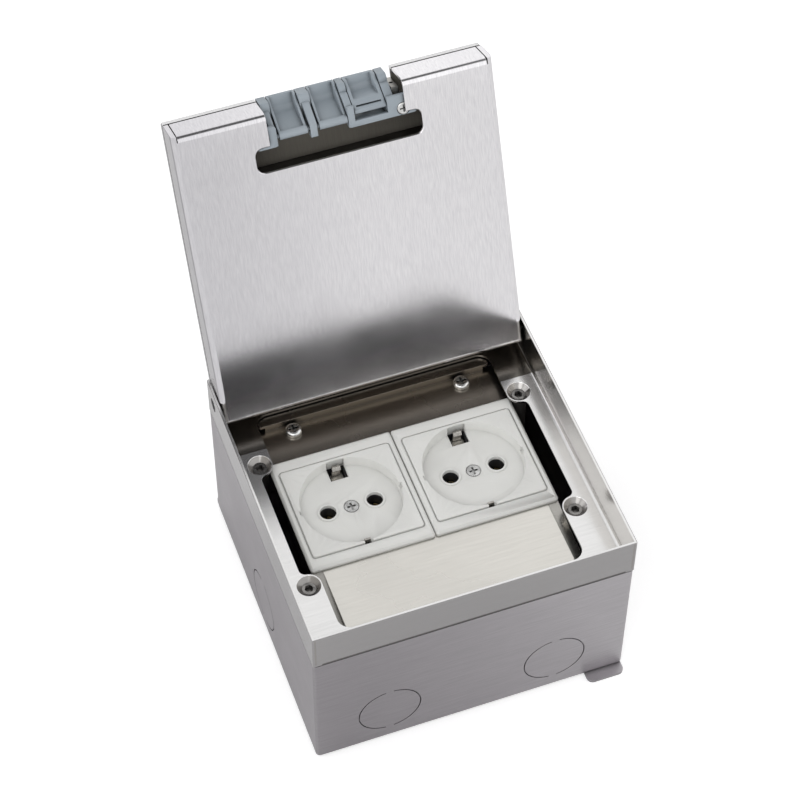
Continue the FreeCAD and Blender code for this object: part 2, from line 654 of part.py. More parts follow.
def socket_plate():
    z0 = PLATE_TOP - PLATE_T
    apron = rbox(-PLATE_HALF, PLATE_HALF, PLATE_FRONT, PLATE_REAR, z0, PLATE_TOP, 2.5)
    wings = rbox(-PLATE_WING, PLATE_WING, -20.5, 22.5, z0, PLATE_TOP, 1.5)
    flange = box(-PLATE_HALF, PLATE_HALF, PLATE_REAR - PLATE_T, PLATE_REAR, z0,
                 PLATE_FLANGE_TOP)
    square = box(-PLATE_HALF, PLATE_HALF, PLATE_REAR - 4, PLATE_REAR, z0, PLATE_TOP)
    rear = rbox(-POCKET_OUTER, POCKET_OUTER, POCKET_REAR_START, PLATE_REAR, z0,
                PLATE_TOP, 1.0)
    lip = rbox(-LIP_HALF, LIP_HALF, PLATE_REAR - PLATE_T, LIP_REAR,
               PLATE_FLANGE_TOP - PLATE_T, PLATE_FLANGE_TOP, 0.5)
    slope = [(PLATE_FRONT + 0.5, PLATE_TOP - POCKET_DEPTH), (POCKET_FRONT_END, PLATE_TOP),
             (POCKET_FRONT_END, z0), (PLATE_FRONT + 0.5, z0 - POCKET_DEPTH)]
    shelf = prism(slope, PLATE_HALF - PLATE_T, POCKET_OUTER)
    side = [(PLATE_FRONT + 2.5, PLATE_TOP - 0.5), (POCKET_FRONT_END, PLATE_TOP - 0.5),
            (POCKET_FRONT_END, z0), (PLATE_FRONT + 2.5, z0 - POCKET_DEPTH + 0.5)]
    side = prism(side, PLATE_HALF - PLATE_T, PLATE_HALF)
    plate = fuse([apron, wings, square, flange, rear, lip, shelf, side,
                  mirror_x(shelf), mirror_x(side)])
    for x in (-SOCKET_X, SOCKET_X):
        plate = plate.cut(rbox(x - BODY_HOLE, x + BODY_HOLE, SOCKET_Y - BODY_HOLE,
                               SOCKET_Y + BODY_HOLE, z0 - 1, PLATE_TOP + 1, 3.0))
    for x in (-PLATE_SCREWS[0], PLATE_SCREWS[0]):
        plate = plate.cut(rod((x, PLATE_SCREWS[1], z0 - 1), Z_AXIS, M4_R + 0.2, 4))
    return plate


def plate_posts():
    z1 = PLATE_TOP - PLATE_T
    parts = []
    for x in (-PLATE_SCREWS[0], PLATE_SCREWS[0]):
        y = PLATE_SCREWS[1]
        post = hexagon((x, y, CASING_SHEET), 8.0, z1 - CASING_SHEET)
        parts.append(post.cut(rod((x, y, z1 - 14), Z_AXIS, M4_R + PIVOT_FIT, 15)))
    return group(parts)


def plate_screws():
    parts = []
    for x in (-PLATE_SCREWS[0], PLATE_SCREWS[0]):
        y = PLATE_SCREWS[1]
        head = rod((x, y, PLATE_TOP), Z_AXIS, PLATE_HEAD_R, PLATE_HEAD_T)
        rim = [e for e in head.Edges if e.BoundBox.ZMin > PLATE_TOP + PLATE_HEAD_T - TINY]
        head = head.makeFillet(1.3, rim)
        shank = rod((x, y, PLATE_TOP - 11), Z_AXIS, M4_R, 11.01)
        screw = head.fuse(shank).removeSplitter()
        parts.append(screw.cut(cross_slot((x, y, PLATE_TOP + PLATE_HEAD_T), 2.0, 0.9,
                                         1.3)))
    return group(parts)


def front_bracket():
    """An angle on the casing's front wall that carries the front of the plate."""
    wall = -HALF + CASING_SHEET
    top = PLATE_TOP - PLATE_T
    angle = box(-BRACKET_HALF, BRACKET_HALF, wall, BRACKET_REACH, top - BRACKET_SHEET, top)
    leg = box(-BRACKET_HALF, BRACKET_HALF, wall, wall + BRACKET_SHEET, top - BRACKET_LEG,
              top)
    return fuse([angle, leg])


# ---- sockets --------------------------------------------------------------------------
COVER_W = 50.0
COVER_D = 52.6
COVER_Y = 4.5
RAISED_W = 44.6
RAISED_D = 41.7
CUP_WALL = 1.2
CUP_FLOOR_T = 1.5
EARTH_REAR_W = 7.2
EARTH_FRONT_W = 3.4


def socket_cover(x_mid):
    """The cover plate with a round recess, pin holes and earth slots."""
    seam = 0.1
    x0 = x_mid - COVER_W / 2 + (seam if x_mid > 0 else 0)
    x1 = x_mid + COVER_W / 2 - (seam if x_mid < 0 else 0)
    y0 = COVER_Y - COVER_D / 2
    y1 = COVER_Y + COVER_D / 2
    base = rbox(x0, x1, y0, y1, PLATE_TOP, 63.9, 1.0)
    top = [e for e in base.Edges if e.BoundBox.ZMin > 63.9 - TINY]
    base = base.makeChamfer(0.9, top)
    raised = rbox(x_mid - RAISED_W / 2, x_mid + RAISED_W / 2, SOCKET_Y - RAISED_D / 2,
                  SOCKET_Y + RAISED_D / 2, 63.0, FACE_Z, 1.2)
    rim = [e for e in raised.Edges if e.BoundBox.ZMin > FACE_Z - TINY]
    raised = raised.makeFillet(0.4, rim)
    groove = rbox(x_mid - RAISED_W / 2 - 0.5, x_mid + RAISED_W / 2 + 0.5,
                  SOCKET_Y - RAISED_D / 2 - 0.5, SOCKET_Y + RAISED_D / 2 + 0.5,
                  63.2, FACE_Z + 1, 1.6)
    base = base.cut(groove).fuse(raised)
    cup_r = RECESS_R + CUP_WALL
    bottom = RECESS_FLOOR - CUP_FLOOR_T
    cup = rod((x_mid, SOCKET_Y, bottom), Z_AXIS, cup_r, PLATE_TOP + 1 - bottom)
    recess = cone((x_mid, SOCKET_Y, RECESS_FLOOR), Z_AXIS, RECESS_R - 0.4, RECESS_R, 4.61)
    cover = base.fuse(cup).cut(recess)
    for dx in (-PIN_PITCH / 2, PIN_PITCH / 2):
        ring = rod((x_mid + dx, SOCKET_Y, RECESS_FLOOR - 0.2), Z_AXIS, 4.1, 0.6)
        cover = cover.fuse(ring)
        cover = cover.cut(rod((x_mid + dx, SOCKET_Y, bottom - 1), Z_AXIS, PIN_HOLE_R, 6))
    cover = cover.cut(rod((x_mid, SOCKET_Y, bottom - 1), Z_AXIS, 1.6, 6))
    cover = cover.cut(rod((x_mid, SOCKET_Y, RECESS_FLOOR - 0.9), Z_AXIS, 3.0, 3))
    cover = cover.cut(box(x_mid - EARTH_REAR_W / 2, x_mid + EARTH_REAR_W / 2,
                          SOCKET_Y + 13.6, SOCKET_Y + 20.6, bottom - 1, FACE_Z - 0.7))
    cover = cover.cut(box(x_mid - EARTH_FRONT_W / 2, x_mid + EARTH_FRONT_W / 2,
                          SOCKET_Y - 20.9, SOCKET_Y - 16.8, bottom - 1, FACE_Z + 1))
    for side in (-1, 1):
        xa = x_mid + side * (RECESS_R - 1)
        xb = x_mid + side * (RECESS_R + 0.7)
        cover = cover.cut(box(min(xa, xb), max(xa, xb), SOCKET_Y - 1.2, SOCKET_Y + 1.2,
                              RECESS_FLOOR + 2.4, FACE_Z + 1))
    return cover.removeSplitter()


BODY_HALF = 21.0
BODY_TOP = RECESS_FLOOR - CUP_FLOOR_T - 0.1
BODY_BOTTOM = 31.0
COLLAR_HALF = 22.6
COLLAR_T = 2.0
SLEEVE_R = 2.9


def socket_body(x_mid):
    """The insulating insert that the cover's screw holds, with its contact holes."""
    y = SOCKET_Y
    block = rbox(x_mid - BODY_HALF, x_mid + BODY_HALF, y - BODY_HALF, y + BODY_HALF,
                 BODY_BOTTOM, BODY_TOP, 4.0)
    collar = rbox(x_mid - COLLAR_HALF, x_mid + COLLAR_HALF, y - COLLAR_HALF,
                  y + COLLAR_HALF, BODY_TOP - COLLAR_T, BODY_TOP, 3.0)
    body = block.fuse(collar)
    for dx in (-PIN_PITCH / 2, PIN_PITCH / 2):
        body = body.cut(rod((x_mid + dx, y, BODY_TOP - 19), Z_AXIS, PIN_HOLE_R, 25))
    body = body.cut(box(x_mid - 3, x_mid + 3, y - 20.4, y + 20.4, BODY_TOP - 3, PLATE_TOP))
    body = body.cut(rod((x_mid, y, BODY_TOP - 12), Z_AXIS, 1.55, 20))
    for dx in (-PIN_PITCH / 2, 0, PIN_PITCH / 2):
        hole = rod((x_mid + dx, y - 12, BODY_BOTTOM - 1), Z_AXIS, 1.25, 5)
        body = body.cut(hole)
    return body.removeSplitter()


def contact_sleeves(x_mid):
    """Slit spring sleeves that grip the pins of a plug."""
    parts = []
    z0 = BODY_TOP - 18.9
    for dx in (-PIN_PITCH / 2, PIN_PITCH / 2):
        x = x_mid + dx
        tube = rod((x, SOCKET_Y, z0), Z_AXIS, SLEEVE_R, 14)
        tube = tube.cut(rod((x, SOCKET_Y, z0 + 1), Z_AXIS, SLEEVE_R - 0.5, 14))
        parts.append(tube.cut(box(x - 0.3, x + 0.3, SOCKET_Y - 4, SOCKET_Y + 4,
                                  z0 + 4, z0 + 15)))
    return group(parts)


def earth_clip(x_mid):
    """A bent strip whose two tongues stand in the recess, front and rear."""
    y = SOCKET_Y
    z0 = BODY_TOP - 2.9
    parts = [box(x_mid - 2.5, x_mid + 2.5, y - 19.0, y + 19.0, z0, z0 + 0.8)]
    for side, half, top in ((1, 1.7, 61.8), (-1, 1.2, 63.0)):
        outer = y + side * 19.0
        inner = y + side * 18.2
        parts.append(box(x_mid - half, x_mid + half, min(outer, inner),
                         max(outer, inner), z0, top))
        tip = y + side * 17.2
        lean = [(inner, top), (outer, top), (tip + side * 0.8, 60.4), (tip, 60.4)]
        if side < 0:
            lean.reverse()
        parts.append(prism(lean, x_mid - half, x_mid + half))
    clip = fuse(parts)
    return clip.cut(rod((x_mid, y, z0 - 1), Z_AXIS, 1.7, 3))


def cover_screws():
    parts = []
    for x in (-SOCKET_X, SOCKET_X):
        y = SOCKET_Y
        z = RECESS_FLOOR - 0.1
        head = rod((x, y, z - 0.75), Z_AXIS, 2.7, 0.75)
        shank = rod((x, y, z - 12), Z_AXIS, 1.5, 12)
        screw = head.fuse(shank).removeSplitter()
        parts.append(screw.cut(cross_slot((x, y, z), 1.7, 0.8, 0.55)))
    return group(parts)


def terminal_screws(x_mid):
    parts = []
    for dx in (-PIN_PITCH / 2, 0, PIN_PITCH / 2):
        x = x_mid + dx
        y = SOCKET_Y - 12
        head = rod((x, y, BODY_BOTTOM - 1.4), Z_AXIS, 2.1, 1.4)
        shank = rod((x, y, BODY_BOTTOM - 0.01), Z_AXIS, 1.2, 3.5)
        screw = head.fuse(shank).removeSplitter()
        parts.append(screw.cut(box(x - 3, x + 3, y - 0.3, y + 0.3,
                                   BODY_BOTTOM - 2, BODY_BOTTOM - 0.8)))
    return group(parts)


def earth_terminal():
    """A threaded stud on the base with its washer and nut."""
    x = -55.2
    y = 8.0
    z = CASING_SHEET
    stud = rod((x, y, z), Z_AXIS, M4_R, 13)
    washer = rod((x, y, z), Z_AXIS, 4.5, 0.9).cut(rod((x, y, z - 1), Z_AXIS, M4_R + 0.05, 4))
    nut = hexagon((x, y, z + 0.9), 7.0, 3.2).cut(rod((x, y, z), Z_AXIS, M4_R + 0.05, 9))
    return group([stud, washer, nut])


# ---- all pieces -----------------------------------------------------------------------
casing_shape = casing()
pieces = {
    "casing": casing_shape,
    "floor_lugs": floor_lugs(casing_shape),
    "casing_gasket": gasket(),
    "frame": frame(),
    "frame_pillars": pillars(),
    "frame_screws": frame_screws(),
    "stop_studs": stop_studs(),
    "socket_plate": socket_plate(),
    "plate_posts": plate_posts(),
    "plate_screws": plate_screws(),
    "front_bracket": front_bracket(),
    "cover_screws": cover_screws(),
    "earth_terminal": earth_terminal(),
    "hinge_bushes": hinge_bushes(),
    "hinge_pins": opened(hinge_pins()),
    "hinge_blocks": opened(hinge_blocks()),
    "lid_pan": opened(lid_pan()),
    "lid_cover": opened(lid_cover()),
    "lid_seal": opened(lid_seal()),
    "lid_stiffener": opened(lid_stiffener()),
    "outlet_carrier": opened(outlet_carrier()),
    "outlet_screws": opened(outlet_screws()),
    "outlet_bracket": opened(outlet_bracket()),
    "cable_flap_left": opened(cable_flap(FLAP_X[0])),
    "cable_flap_right": opened(cable_flap(FLAP_X[1])),
    "latch_slider": opened(latch_slider()),
    "latch_spring": opened(latch_spring()),
}
for name, x in (("left", -SOCKET_X), ("right", SOCKET_X)):
    pieces["socket_cover_" + name] = socket_cover(x)
    pieces["socket_body_" + name] = socket_body(x)
    pieces["contact_sleeves_" + name] = contact_sleeves(x)
    pieces["earth_clip_" + name] = earth_clip(x)
    pieces["terminal_screws_" + name] = terminal_screws(x)

os.makedirs("parts", exist_ok=True)
for name, shape in pieces.items():
    b = shape.BoundBox
    print(f"{name:24s} {len(shape.Solids):2d} solids {shape.Volume:10.1f} mm3 "
          f"valid={shape.isValid()}  x {b.XMin:.2f}..{b.XMax:.2f}  "
          f"y {b.YMin:.2f}..{b.YMax:.2f}  z {b.ZMin:.2f}..{b.ZMax:.2f}")
    shape.exportStep("parts/" + name + ".step")
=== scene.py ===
import json
import math

import bmesh
import bpy
from mathutils import Matrix, Vector


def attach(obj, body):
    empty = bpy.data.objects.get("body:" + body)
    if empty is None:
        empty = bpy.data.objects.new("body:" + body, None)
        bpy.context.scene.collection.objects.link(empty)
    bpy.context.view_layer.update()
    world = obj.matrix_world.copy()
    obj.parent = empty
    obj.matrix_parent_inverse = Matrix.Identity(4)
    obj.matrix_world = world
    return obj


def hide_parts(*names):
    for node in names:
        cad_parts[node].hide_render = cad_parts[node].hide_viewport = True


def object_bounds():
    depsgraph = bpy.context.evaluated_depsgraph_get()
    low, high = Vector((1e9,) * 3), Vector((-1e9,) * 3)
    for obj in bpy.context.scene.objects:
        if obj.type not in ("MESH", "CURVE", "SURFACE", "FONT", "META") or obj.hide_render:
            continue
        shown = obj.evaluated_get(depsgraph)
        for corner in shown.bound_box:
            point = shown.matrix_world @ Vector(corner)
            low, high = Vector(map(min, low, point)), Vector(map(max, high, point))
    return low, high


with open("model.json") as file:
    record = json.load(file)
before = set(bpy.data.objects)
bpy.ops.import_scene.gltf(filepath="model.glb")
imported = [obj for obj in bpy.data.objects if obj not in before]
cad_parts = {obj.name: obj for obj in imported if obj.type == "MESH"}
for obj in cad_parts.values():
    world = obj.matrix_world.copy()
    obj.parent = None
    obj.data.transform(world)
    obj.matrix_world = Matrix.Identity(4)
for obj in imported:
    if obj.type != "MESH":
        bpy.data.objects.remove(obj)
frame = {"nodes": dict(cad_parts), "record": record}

cad_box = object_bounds()
MM = 0.001

# ---- camera ------------------------------------------------------------------------------
CAMERA_TARGET = Vector((10.2, 34.1, 60.0)) * MM
CAMERA_DISTANCE = 0.9972
CAMERA_AZIMUTH = math.radians(-20.6)
CAMERA_ELEVATION = math.radians(52.626)
CAMERA_ROLL = math.radians(0.659)
CAMERA_LENS = 113.925
CAMERA_SHIFT = (-0.01384, 0.02859)


def make_camera():
    """Looks at the target from the given side and height, a little rolled."""
    flat = math.cos(CAMERA_ELEVATION)
    back = Vector((math.sin(CAMERA_AZIMUTH) * flat, -math.cos(CAMERA_AZIMUTH) * flat,
                   math.sin(CAMERA_ELEVATION)))
    level = Vector((math.cos(CAMERA_AZIMUTH), math.sin(CAMERA_AZIMUTH), 0))
    upright = back.cross(level)
    right = level * math.cos(CAMERA_ROLL) + upright * math.sin(CAMERA_ROLL)
    up = back.cross(right)
    data = bpy.data.cameras.new("camera")
    data.lens = CAMERA_LENS
    data.sensor_width = 36.0
    data.shift_x, data.shift_y = CAMERA_SHIFT
    data.clip_start = 0.01
    data.clip_end = 50.0
    camera = bpy.data.objects.new("camera", data)
    place = Matrix((right, up, back)).transposed().to_4x4()
    place.translation = CAMERA_TARGET + back * CAMERA_DISTANCE
    camera.matrix_world = place
    bpy.context.scene.collection.objects.link(camera)
    bpy.context.scene.camera = camera


make_camera()

# ---- where the lid lies ------------------------------------------------------------------
HINGE = Vector((0, 56.1, 76.9)) * MM
OPEN_ANGLE = math.radians(111.5)


# ---- shader groups -----------------------------------------------------------------------
def new_group(name, inputs, outputs):
    """A shader node group with named sockets: (name, kind, default) in, (name, kind) out."""
    group = bpy.data.node_groups.new(name, "ShaderNodeTree")
    for label, kind, default in inputs:
        socket = group.interface.new_socket(label, in_out="INPUT", socket_type=kind)
        socket.default_value = default
    for label, kind in outputs:
        group.interface.new_socket(label, in_out="OUTPUT", socket_type=kind)
    start = group.nodes.new("NodeGroupInput")
    end = group.nodes.new("NodeGroupOutput")
    return group, start, end


def add(tree, kind, **settings):
    """A new node of a kind, with its settings."""
    node = tree.nodes.new(kind)
    for key, value in settings.items():
        setattr(node, key, value)
    return node


def ramp(tree, source, low, high, out_low=0.0, out_high=1.0):
    """Maps a value from one range to another, clamped."""
    node = add(tree, "ShaderNodeMapRange", interpolation_type="SMOOTHSTEP")
    node.inputs["From Min"].default_value = low
    node.inputs["From Max"].default_value = high
    node.inputs["To Min"].default_value = out_low
    node.inputs["To Max"].default_value = out_high
    tree.links.new(source, node.inputs["Value"])
    return node.outputs["Result"]


def blend_colour(tree, factor, a, b, mode="MIX"):
    """Mixes two colours. Each of the three may be a value or another node's output."""
    node = add(tree, "ShaderNodeMix", data_type="RGBA", blend_type=mode)
    for index, value in ((0, factor), (6, a), (7, b)):
        if isinstance(value, (int, float)):
            node.inputs[index].default_value = value
        elif isinstance(value, tuple):
            node.inputs[index].default_value = value + (1.0,)
        else:
            tree.links.new(value, node.inputs[index])
    return node.outputs[2]


def noise(tree, vector, scale, detail=2.0, rough=0.5):
    """Cloudy noise, 0 to 1. scale: how many clouds per unit of the vector."""
    node = add(tree, "ShaderNodeTexNoise")
    node.inputs["Scale"].default_value = scale
    node.inputs["Detail"].default_value = detail
    node.inputs["Roughness"].default_value = rough
    tree.links.new(vector, node.inputs["Vector"])
    return node.outputs["Fac"]


def make_brush_group():
    """Fine strokes left by a brushing belt, with a few deeper ones."""
    group, start, end = new_group(
        "brush_strokes",
        [("Position", "NodeSocketVector", (0, 0, 0)),
         ("Frequency", "NodeSocketVector", (1, 1, 1))],
        [("Strokes", "NodeSocketFloat"), ("Deep", "NodeSocketFloat")])
    scaled = add(group, "ShaderNodeVectorMath", operation="MULTIPLY")
    group.links.new(start.outputs["Position"], scaled.inputs[0])
    group.links.new(start.outputs["Frequency"], scaled.inputs[1])
    fine = noise(group, scaled.outputs[0], 1.0, 5.0, 0.65)
    wide = noise(group, scaled.outputs[0], 0.23, 3.0, 0.55)
    group.links.new(ramp(group, fine, 0.3, 0.7), end.inputs["Strokes"])
    group.links.new(ramp(group, wide, 0.56, 0.72), end.inputs["Deep"])
    return group


def make_smudge_group():
    """Cloudy handling marks: broad soft patches and small specks."""
    group, start, end = new_group(
        "smudges",
        [("Position", "NodeSocketVector", (0, 0, 0)), ("Size", "NodeSocketFloat", 30.0)],
        [("Patches", "NodeSocketFloat"), ("Specks", "NodeSocketFloat")])
    cloud = add(group, "ShaderNodeTexNoise")
    cloud.inputs["Detail"].default_value = 4.0
    group.links.new(start.outputs["Position"], cloud.inputs["Vector"])
    group.links.new(start.outputs["Size"], cloud.inputs["Scale"])
    specks = noise(group, start.outputs["Position"], 900.0, 1.0, 0.4)
    group.links.new(ramp(group, cloud.outputs["Fac"], 0.35, 0.68), end.inputs["Patches"])
    group.links.new(ramp(group, specks, 0.62, 0.75), end.inputs["Specks"])
    return group


def make_mould_group():
    """The faint spark-eroded grain of moulded plastic."""
    group, start, end = new_group(
        "mould_grain",
        [("Position", "NodeSocketVector", (0, 0, 0)), ("Grain", "NodeSocketFloat", 4000.0)],
        [("Height", "NodeSocketFloat"), ("Tone", "NodeSocketFloat")])
    grain = add(group, "ShaderNodeTexNoise")
    grain.inputs["Detail"].default_value = 3.0
    group.links.new(start.outputs["Position"], grain.inputs["Vector"])
    group.links.new(start.outputs["Grain"], grain.inputs["Scale"])
    tone = noise(group, start.outputs["Position"], 60.0, 3.0)
    group.links.new(grain.outputs["Fac"], end.inputs["Height"])
    group.links.new(ramp(group, tone, 0.3, 0.7), end.inputs["Tone"])
    return group


BRUSH = make_brush_group()
SMUDGE = make_smudge_group()
MOULD = make_mould_group()


# ---- materials ---------------------------------------------------------------------------
STEEL_CLOUDS = 28.0                  # handling marks per metre
CLOUD_SHARE = 0.16                   # how far a handling mark goes to the darker tone
DEEP_DARKENING = 0.35
DEEP_SHARE = 0.55
# Painted shade where two surfaces meet closely, for sheet steel, small metal parts and
# plastic.
STEEL_CREVICE_PAINTED_SHADE = (3.0 * MM, 0.55)     # reach and darkness
METAL_CREVICE_PAINTED_SHADE = (1.6 * MM, 0.92)
PLASTIC_CREVICE_SHADE_REACH = 2.0 * MM
RELIEF_DEPTH = 0.02 * MM
METAL_RELIEF_DEPTH = 0.01 * MM
SHADE_START = -64.0                  # mm, just outside the left face
COAT_ROUGHNESS = 0.12
PLASTIC_CLOUDS = 45.0
MOULD_GRAIN = 3500.0


def new_material(name):
    """A material with its node tree and its one surface shader."""
    material = bpy.data.materials.new(name)
    material.use_nodes = True
    tree = material.node_tree
    tree.nodes.clear()
    out = tree.nodes.new("ShaderNodeOutputMaterial")
    shader = tree.nodes.new("ShaderNodeBsdfPrincipled")
    tree.links.new(shader.outputs[0], out.inputs["Surface"])
    return material, tree, shader


def place_group(tree, group, position, **values):
    """Puts a shader group into a material, at a position and with its values."""
    node = add(tree, "ShaderNodeGroup")
    node.node_tree = group
    tree.links.new(position, node.inputs["Position"])
    for key, value in values.items():
        node.inputs[key].default_value = value
    return node


def position_of(tree, on_lid=False):
    """Object position in metres; on the lid it is turned back to the closed lid's frame."""
    coords = add(tree, "ShaderNodeTexCoord").outputs["Object"]
    if not on_lid:
        return coords
    turn = add(tree, "ShaderNodeVectorRotate", rotation_type="X_AXIS")
    turn.inputs["Center"].default_value = HINGE
    turn.inputs["Angle"].default_value = OPEN_ANGLE
    tree.links.new(coords, turn.inputs["Vector"])
    return turn.outputs[0]


def painted_crevice_shade(tree, colour, reach, depth):
    """Painted shade, darker where two surfaces meet closely. depth: how dark, 0 to 1."""
    closeness = add(tree, "ShaderNodeAmbientOcclusion", samples=6)
    closeness.inputs["Distance"].default_value = reach
    open_part = ramp(tree, closeness.outputs["AO"], 0.25, 0.95, 1.0 - depth, 1.0)
    return blend_colour(tree, 1.0, colour, open_part, "MULTIPLY")


def soften(tree, shader, height, strength, depth, edge):
    """Surface relief over a small rounding of the sheet's edges."""
    rounding = add(tree, "ShaderNodeBevel", samples=4)
    rounding.inputs["Radius"].default_value = edge
    bump = add(tree, "ShaderNodeBump")
    bump.inputs["Strength"].default_value = strength
    bump.inputs["Distance"].default_value = depth
    tree.links.new(height, bump.inputs["Height"])
    tree.links.new(rounding.outputs[0], bump.inputs["Normal"])
    tree.links.new(bump.outputs[0], shader.inputs["Normal"])


def zone(tree, where, limits):
    """One inside the given limits, in mm, of X, Y, Z or their sizes (AX, AY); else 0."""
    split = add(tree, "ShaderNodeSeparateXYZ")
    tree.links.new(where, split.inputs[0])
    mask = None
    for axis, low, high in limits:
        value = split.outputs[axis[-1]]
        if axis[0] == "A":
            size = add(tree, "ShaderNodeMath", operation="ABSOLUTE")
            tree.links.new(value, size.inputs[0])
            value = size.outputs[0]
        for test, limit in (("GREATER_THAN", low), ("LESS_THAN", high)):
            if limit is None:
                continue
            step = add(tree, "ShaderNodeMath", operation=test)
            step.inputs[1].default_value = limit * MM
            tree.links.new(value, step.inputs[0])
            if mask is None:
                mask = step.outputs[0]
                continue
            both = add(tree, "ShaderNodeMath", operation="MULTIPLY")
            tree.links.new(mask, both.inputs[0])
            tree.links.new(step.outputs[0], both.inputs[1])
            mask = both.outputs[0]
    return mask


def tint(tree, colour, mask, tone):
    """Multiplies the colour by a tone where the mask is one."""
    return blend_colour(tree, mask, colour,
                        blend_colour(tree, 1.0, colour, tone, "MULTIPLY"))


def brushed_steel(name, light, dark, rough, strokes, on_lid=False, relief=0.25,
                  edge=0.25 * MM, contrast=1.0, zones=(), shade=None, shade_end=20.0,
                  matte=None):
    """Brushed stainless sheet.

    strokes: stroke frequency along X, Y and Z, per metre. zones: pairs of limits and tone;
    the tones paint shade and reflections. shade: the tone of the painted shade on the left
    side, which fades out at shade_end in mm. matte: the limits of the part that doesn't shine
    like metal.
    """
    material, tree, shader = new_material(name)
    shader.inputs["Metallic"].default_value = 1.0
    where = position_of(tree, on_lid)
    brush = place_group(tree, BRUSH, where, Frequency=strokes)
    marks = place_group(tree, SMUDGE, where, Size=STEEL_CLOUDS)
    colour = blend_colour(tree, brush.outputs["Strokes"], dark, light)
    deep = tuple(c * (1.0 - DEEP_DARKENING * contrast) for c in dark)
    line = add(tree, "ShaderNodeMath", operation="MULTIPLY")
    line.inputs[1].default_value = DEEP_SHARE * contrast
    tree.links.new(brush.outputs["Deep"], line.inputs[0])
    colour = blend_colour(tree, line.outputs[0], colour, deep)
    cloud = ramp(tree, marks.outputs["Patches"], 0.0, 1.0, 0.0, CLOUD_SHARE)
    colour = blend_colour(tree, cloud, colour, dark)
    # Painted shade, darker towards the left side.
    if shade:
        across = add(tree, "ShaderNodeSeparateXYZ")
        tree.links.new(where, across.inputs[0])
        side = ramp(tree, across.outputs["X"], SHADE_START * MM, shade_end * MM, 1.0, 0.0)
        colour = tint(tree, colour, side, shade)
    # Painted shade and painted reflections, zone by zone.
    for limits, tone in zones:
        colour = tint(tree, colour, zone(tree, where, limits), tone)
    if matte:
        bare = add(tree, "ShaderNodeMath", operation="SUBTRACT")
        bare.inputs[0].default_value = 1.0
        tree.links.new(zone(tree, where, matte), bare.inputs[1])
        tree.links.new(bare.outputs[0], shader.inputs["Metallic"])
    colour = painted_crevice_shade(tree, colour, *STEEL_CREVICE_PAINTED_SHADE)
    tree.links.new(colour, shader.inputs["Base Color"])
    spread = ramp(tree, marks.outputs["Patches"], 0.0, 1.0, rough - 0.01, rough + 0.02)
    tree.links.new(spread, shader.inputs["Roughness"])
    soften(tree, shader, brush.outputs["Strokes"], relief, RELIEF_DEPTH, edge)
    return material


def plain_metal(name, light, dark, rough, size=400.0, edge=0.15 * MM):
    """Turned, plated or pressed small metal parts."""
    material, tree, shader = new_material(name)
    shader.inputs["Metallic"].default_value = 1.0
    where = position_of(tree)
    marks = place_group(tree, SMUDGE, where, Size=size)
    colour = blend_colour(tree, marks.outputs["Patches"], light, dark)
    tree.links.new(painted_crevice_shade(tree, colour, *METAL_CREVICE_PAINTED_SHADE), shader.inputs["Base Color"])
    tree.links.new(ramp(tree, marks.outputs["Patches"], 0.0, 1.0, rough, rough + 0.12),
                   shader.inputs["Roughness"])
    soften(tree, shader, marks.outputs["Specks"], 0.1, METAL_RELIEF_DEPTH, edge)
    return material


def moulded_plastic(name, light, dark, rough, relief, coat=0.0, edge=0.2 * MM,
                    crevice=0.6):
    """Grained plastic. coat: how much gloss lies over it; crevice: how dark the painted shade
    in its gaps is.
    """
    material, tree, shader = new_material(name)
    where = position_of(tree)
    mould = place_group(tree, MOULD, where, Grain=MOULD_GRAIN)
    marks = place_group(tree, SMUDGE, where, Size=PLASTIC_CLOUDS)
    colour = blend_colour(tree, mould.outputs["Tone"], light, dark)
    colour = painted_crevice_shade(tree, colour, PLASTIC_CREVICE_SHADE_REACH, crevice)
    tree.links.new(colour, shader.inputs["Base Color"])
    tree.links.new(ramp(tree, marks.outputs["Patches"], 0.0, 1.0, rough, rough + 0.08),
                   shader.inputs["Roughness"])
    shader.inputs["Coat Weight"].default_value = coat
    shader.inputs["Coat Roughness"].default_value = COAT_ROUGHNESS
    soften(tree, shader, mould.outputs["Height"], relief, RELIEF_DEPTH, edge)
    return material


# Tones that parts of a sheet's colour are multiplied by. They stand for shade and for
# reflections of the room, and were chosen one by one. They aren't other finishes of the steel.
# All of these are painted shade, except the two by the hinge, which paint the dark lid's
# reflection on the ledge and on the plate.
SKIRT_PAINTED_SHADE = (0.49, 0.48, 0.485)          # outer faces of the frame
WALL_INSIDE_PAINTED_SHADE = (0.88, 0.86, 0.83)     # side walls of the frame, inside
FRONT_WALL_INSIDE_PAINTED_SHADE = (0.10, 0.10, 0.105)
SHEET_EDGE_PAINTED_SHADE = (0.42, 0.41, 0.40)      # countersinks and cut edges below the ledge
HINGE_SIDE_PAINTED_REFLECTION = (0.26, 0.245, 0.22)     # ledge under the hinge, with a band outside
PLATE_HINGE_SIDE_PAINTED_REFLECTION = (0.42, 0.39, 0.36)
CASING_FRONT_PAINTED_SHADE = (0.95, 0.945, 0.95)
CASING_LEFT_PAINTED_SHADE = (0.98, 0.97, 0.98)
CASING_SHADE = (0.70, 0.69, 0.70)
LID_SIDE_PAINTED_SHADE = (0.55, 0.54, 0.55)
LID_SHADE = (0.80, 0.80, 0.81)
COVER_INSIDE_PAINTED_SHADE = (0.30, 0.28, 0.235)
COVER_INSIDE_REAR_PAINTED_SHADE = (0.72, 0.72, 0.74)

